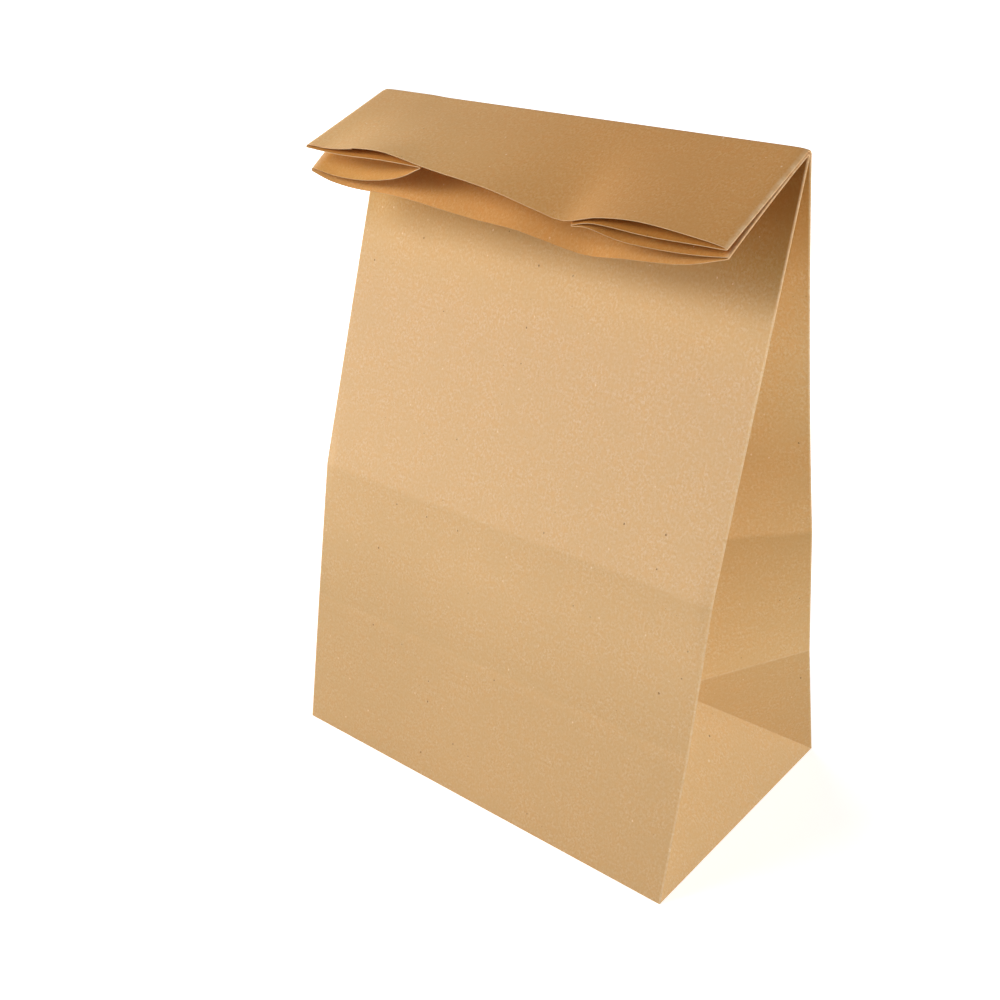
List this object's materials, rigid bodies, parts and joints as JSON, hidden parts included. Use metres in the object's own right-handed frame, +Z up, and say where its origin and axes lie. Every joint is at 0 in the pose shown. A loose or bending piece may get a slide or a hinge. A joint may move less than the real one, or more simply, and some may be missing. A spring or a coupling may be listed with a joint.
{
  "type": "paper lunch bag",
  "caption": "Brown paper bag with a square bottom and gusseted sides, standing open below and folded over once at the top towards the front.",
  "frame": {"origin": "centre of the flat bottom, on the surface that the bag stands on", "axes": "+X along the front wall to its right, +Y from the front wall to the back, +Z up to the folded top"},
  "size_m": [0.1528, 0.0992, 0.2174],
  "materials": {
    "kraft_paper": "matt unbleached kraft paper"
  },
  "bodies": {
    "root": {"paper_bag": "kraft_paper"}
  },
  "joints": []
}
